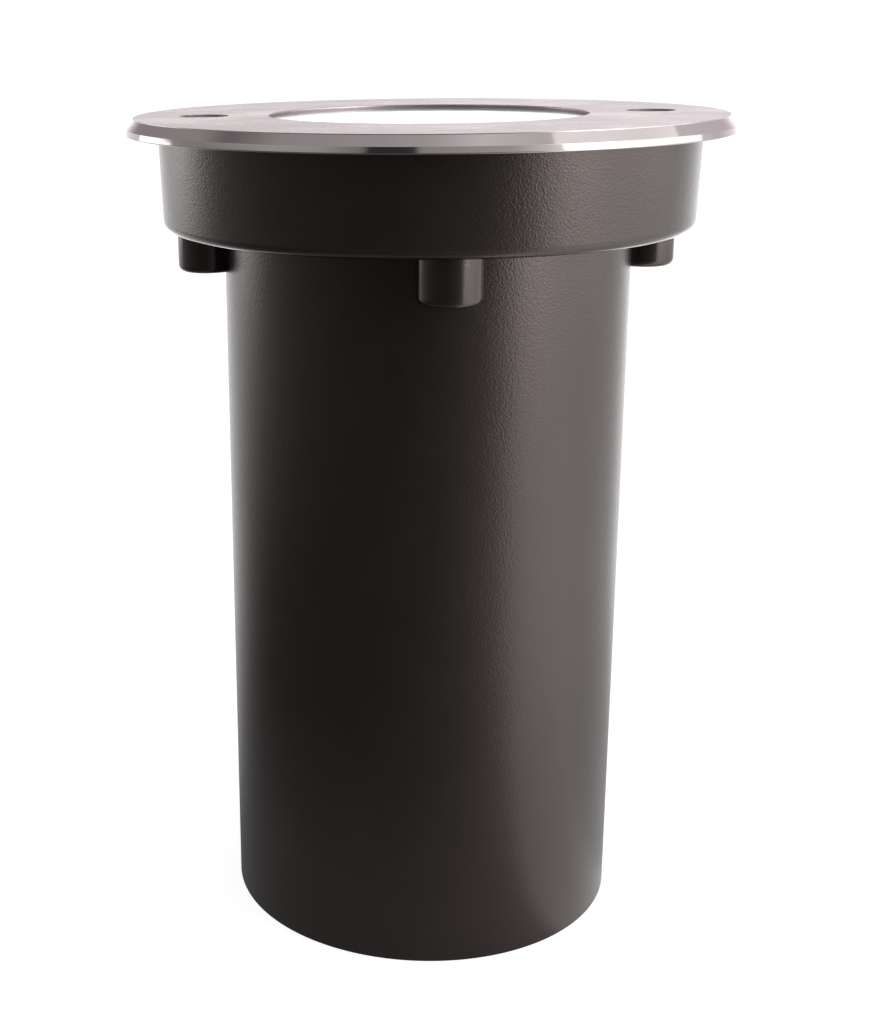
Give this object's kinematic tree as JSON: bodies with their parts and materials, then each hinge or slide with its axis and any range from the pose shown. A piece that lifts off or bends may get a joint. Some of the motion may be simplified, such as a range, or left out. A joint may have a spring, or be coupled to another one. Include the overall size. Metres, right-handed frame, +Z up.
{
  "type": "in ground well light",
  "caption": "Round recessed ground light with bevelled steel trim ring, flush glass, stepped cast housing and tilting lamp inside.",
  "frame": {"origin": "centre of the ring that the housing stands on, at the bottom of the tube", "axes": "+Z up along the tube, out of the ground; +X and -X through the two trim ring screws; -Y and +Y through the two clamp ring screws; the lamp tilts about X"},
  "size_m": [0.13, 0.13, 0.18],
  "materials": {
    "housing_coat": "fine textured dark bronze powder coat on cast aluminium",
    "trim_steel": "stainless steel, turned face and polished bevel",
    "screw_steel": "stainless screw",
    "retainer_nylon": "natural nylon",
    "clamp_aluminium": "plain milled aluminium",
    "lens_glass": "toughened glass, ground underside",
    "gasket_rubber": "moulded black silicone rubber",
    "zinc_sheet": "zinc plated sheet steel",
    "zinc_screw": "bright zinc plate",
    "earth_brass": "plain brass",
    "holder_ceramic": "glazed steatite",
    "block_plastic": "natural polyamide",
    "lead_silicone": "silicone sleeve",
    "lamp_shell": "pale satin lamp body",
    "lamp_front": "lamp front",
    "pin_nickel": "nickel plated pin",
    "gland_nickel": "nickel plated brass",
    "seal_rubber": "black rubber"
  },
  "bodies": {
    "housing": {"housing": "housing_coat", "mounting_frame": "zinc_sheet", "frame_screws": "zinc_screw", "earth_washer": "zinc_screw", "earth_screw": "earth_brass", "gland_body": "gland_nickel", "gland_washer": "gasket_rubber", "gland_locknut": "gland_nickel", "gland_seal": "seal_rubber"},
    "trim": {"trim_ring": "trim_steel", "screw_retainers": "retainer_nylon"},
    "trim_screw_left": {"trim_screw_left": "screw_steel"},
    "trim_screw_right": {"trim_screw_right": "screw_steel"},
    "glass_unit": {"clamp_ring": "clamp_aluminium", "glass_lens": "lens_glass", "lens_gasket": "gasket_rubber"},
    "clamp_screw_front": {"clamp_screw_front": "screw_steel"},
    "clamp_screw_back": {"clamp_screw_back": "screw_steel"},
    "carrier": {"lamp_carrier": "zinc_sheet", "pivot_screws": "zinc_screw", "pivot_washers": "zinc_screw", "pivot_nuts": "zinc_screw", "lamp_holder": "holder_ceramic", "holder_screws": "zinc_screw", "terminal_block": "block_plastic", "terminal_screws": "zinc_screw", "block_screw": "zinc_screw", "lamp_leads": "lead_silicone"},
    "lamp": {"lamp_body": "lamp_shell", "lamp_lens": "lamp_front", "lamp_pins": "pin_nickel"},
    "gland_nut": {"gland_nut": "gland_nickel"}
  },
  "joints": [
    {"name": "trim_lift", "type": "slide", "parent": "housing", "child": "trim", "axis": [0, 0, 1], "range_m": [0, 0.08]},
    {"name": "glass_lift", "type": "slide", "parent": "housing", "child": "glass_unit", "axis": [0, 0, 1], "range_m": [0, 0.04]},
    {"name": "trim_screw_left_turn", "type": "hinge", "parent": "trim", "child": "trim_screw_left", "pos_m": [-0.048, 0, 0.17], "axis": [0, 0, 1], "continuous": true},
    {"name": "trim_screw_right_turn", "type": "hinge", "parent": "trim", "child": "trim_screw_right", "pos_m": [0.048, 0, 0.17], "axis": [0, 0, 1], "continuous": true},
    {"name": "clamp_screw_front_turn", "type": "hinge", "parent": "glass_unit", "child": "clamp_screw_front", "pos_m": [0, -0.048, 0.17], "axis": [0, 0, 1], "continuous": true},
    {"name": "clamp_screw_back_turn", "type": "hinge", "parent": "glass_unit", "child": "clamp_screw_back", "pos_m": [0, 0.048, 0.17], "axis": [0, 0, 1], "continuous": true},
    {"name": "lamp_tilt", "type": "hinge", "parent": "housing", "child": "carrier", "pos_m": [0, 0, 0.128], "axis": [1, 0, 0], "range_deg": [-15, 15]},
    {"name": "lamp_turn", "type": "hinge", "parent": "carrier", "child": "lamp", "pos_m": [0, 0, 0.094], "axis": [0, 0, 1], "range_deg": [0, 20]},
    {"name": "gland_nut_turn", "type": "hinge", "parent": "housing", "child": "gland_nut", "pos_m": [0, 0, 0.012], "axis": [0, 0, 1], "continuous": true}
  ],
  "couplings": [
    {"joint": "glass_lift", "follows": "trim_lift", "ratio": 0.5}
  ]
}
